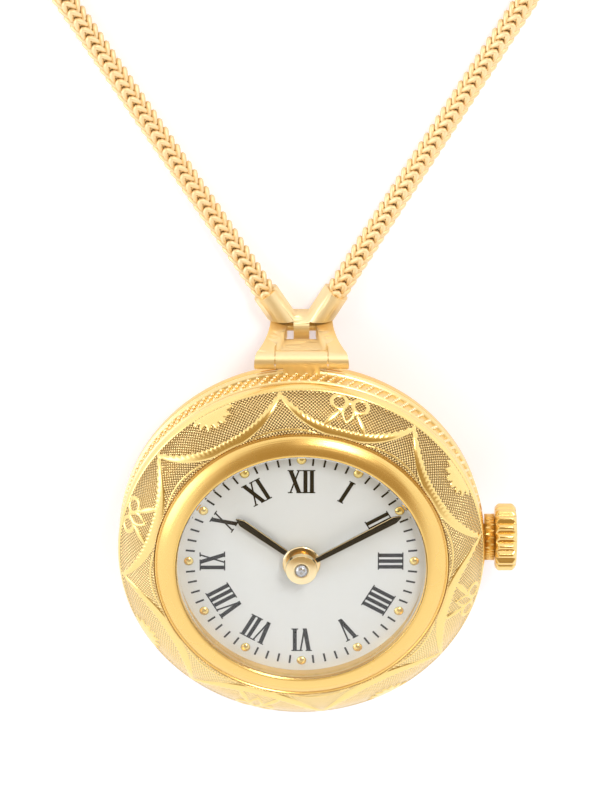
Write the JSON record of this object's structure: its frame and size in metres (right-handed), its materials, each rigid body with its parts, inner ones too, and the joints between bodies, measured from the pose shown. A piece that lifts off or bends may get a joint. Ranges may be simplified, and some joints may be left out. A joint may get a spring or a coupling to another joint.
{
  "type": "pendant watch",
  "caption": "Domed round pendant watch with an engraved front, beaded band, quartz movement, fluted crown and a fine V-shaped chain on a hinged stirrup bow.",
  "frame": {"origin": "centre of the flat on the case back, on the case's axis", "axes": "+Z out of the dial, +Y towards 12 o'clock and the chain, +X towards 3 o'clock and the crown"},
  "size_m": [0.0456, 0.0829, 0.0109],
  "materials": {
    "gold_back": "polished gold plate",
    "gold_band": "beaded gold plate",
    "gold_front": "engraved gold plate",
    "gold_bezel": "polished gold plate",
    "gold_crown": "satin gold plate",
    "gold_bow": "satin gold plate",
    "gold_chain": "woven gold-plated wire",
    "gold_clasp": "polished gold plate",
    "hand_gold": "polished gold plate with black lacquer",
    "dot_gold": "polished gold plate",
    "dial_white": "matte white lacquer",
    "crystal": "clear acrylic",
    "brass": "satin",
    "steel": "satin",
    "iron": "dull",
    "magnet": "dull",
    "copper": "enamelled wire",
    "board": "matte",
    "can": "satin",
    "nylon": "matte",
    "rubber": "matte"
  },
  "bodies": {
    "case": {"case_back": "gold_back", "back_gasket": "rubber", "case_middle": "gold_band", "case_front": "gold_front", "bezel": "gold_bezel", "crystal": "crystal", "dial": "dial_white", "hour_dots": "dot_gold", "movement_ring": "nylon", "main_plate": "brass", "train_bridge": "brass", "bridge_screws": "steel", "stator": "iron", "coil_core": "iron", "coil_winding": "copper", "circuit_board": "board", "quartz_can": "can", "battery": "steel", "battery_clip": "steel", "crown_tube": "gold_crown", "pendant": "gold_bow"},
    "minute_motion": {"minute_hand": "hand_gold", "cannon_pinion": "hand_gold", "centre_wheel": "brass"},
    "hour_motion": {"hour_hand": "hand_gold", "hour_wheel": "brass"},
    "minute_wheel_body": {"minute_wheel": "brass"},
    "setting_wheel_body": {"setting_wheel": "brass"},
    "intermediate_body": {"intermediate_wheel": "brass"},
    "rotor_body": {"rotor": "magnet"},
    "pinion_body": {"setting_pinion": "steel"},
    "crown_body": {"crown": "gold_crown", "stem": "steel", "crown_gasket": "rubber"},
    "lever_body": {"setting_lever": "steel"},
    "bow_body": {"bow": "gold_bow", "bow_pin": "gold_bow"},
    "chain_body": {"chain_yoke": "gold_bow", "strand_left": "gold_chain", "strand_right": "gold_chain", "coil_left": "gold_chain", "coil_right": "gold_chain", "end_caps": "gold_clasp", "jump_ring": "gold_clasp", "end_ring": "gold_clasp", "clasp_body": "gold_clasp"},
    "bolt_body": {"clasp_bolt": "gold_clasp"}
  },
  "joints": [
    {"name": "minute_hand_turn", "type": "hinge", "parent": "case", "child": "minute_motion", "pos_m": [0, 0, 0.00789], "axis": [0, 0, -1], "continuous": true},
    {"name": "hour_hand_turn", "type": "hinge", "parent": "case", "child": "hour_motion", "pos_m": [0, 0, 0.00789], "axis": [0, 0, -1], "continuous": true},
    {"name": "minute_wheel_turn", "type": "hinge", "parent": "case", "child": "minute_wheel_body", "pos_m": [0.0024, 0, 0.00679], "axis": [0, 0, -1], "continuous": true},
    {"name": "setting_wheel_turn", "type": "hinge", "parent": "case", "child": "setting_wheel_body", "pos_m": [0.0048, 0, 0.00679], "axis": [0, 0, -1], "continuous": true},
    {"name": "intermediate_turn", "type": "hinge", "parent": "case", "child": "intermediate_body", "pos_m": [0.00212, 0.00253, 0.00499], "axis": [0, 0, -1], "continuous": true},
    {"name": "rotor_turn", "type": "hinge", "parent": "case", "child": "rotor_body", "pos_m": [0.00015, 0.00325, 0.00419], "axis": [0, 0, -1], "continuous": true},
    {"name": "crown_turn", "type": "hinge", "parent": "case", "child": "pinion_body", "pos_m": [0.00535, 0, 0.00459], "axis": [1, 0, 0], "continuous": true},
    {"name": "crown_pull", "type": "slide", "parent": "pinion_body", "child": "crown_body", "axis": [1, 0, 0], "range_m": [0, 0.0007]},
    {"name": "lever_slide", "type": "slide", "parent": "case", "child": "lever_body", "axis": [1, 0, 0], "range_m": [0, 0.0007]},
    {"name": "bow_swing", "type": "hinge", "parent": "case", "child": "bow_body", "pos_m": [0, 0.0128, 0.0041], "axis": [1, 0, 0], "range_deg": [-15, 125]},
    {"name": "chain_swing", "type": "hinge", "parent": "bow_body", "child": "chain_body", "pos_m": [0, 0.01378, 0.0009], "axis": [1, 0, 0], "range_deg": [-100, 20]},
    {"name": "clasp_bolt_slide", "type": "hinge", "parent": "chain_body", "child": "bolt_body", "pos_m": [0.00433, 0.06553, 0.00082], "axis": [0, 0, 1], "range_deg": [0, 58], "stiffness_Nm_per_rad": 0.0002}
  ],
  "couplings": [
    {"joint": "hour_hand_turn", "follows": "minute_hand_turn", "ratio": 0.083333},
    {"joint": "minute_wheel_turn", "follows": "minute_hand_turn", "ratio": -0.33333},
    {"joint": "setting_wheel_turn", "follows": "minute_hand_turn", "ratio": 1},
    {"joint": "intermediate_turn", "follows": "minute_hand_turn", "ratio": -10},
    {"joint": "rotor_turn", "follows": "minute_hand_turn", "ratio": 90},
    {"joint": "lever_slide", "follows": "crown_pull", "ratio": 1}
  ]
}
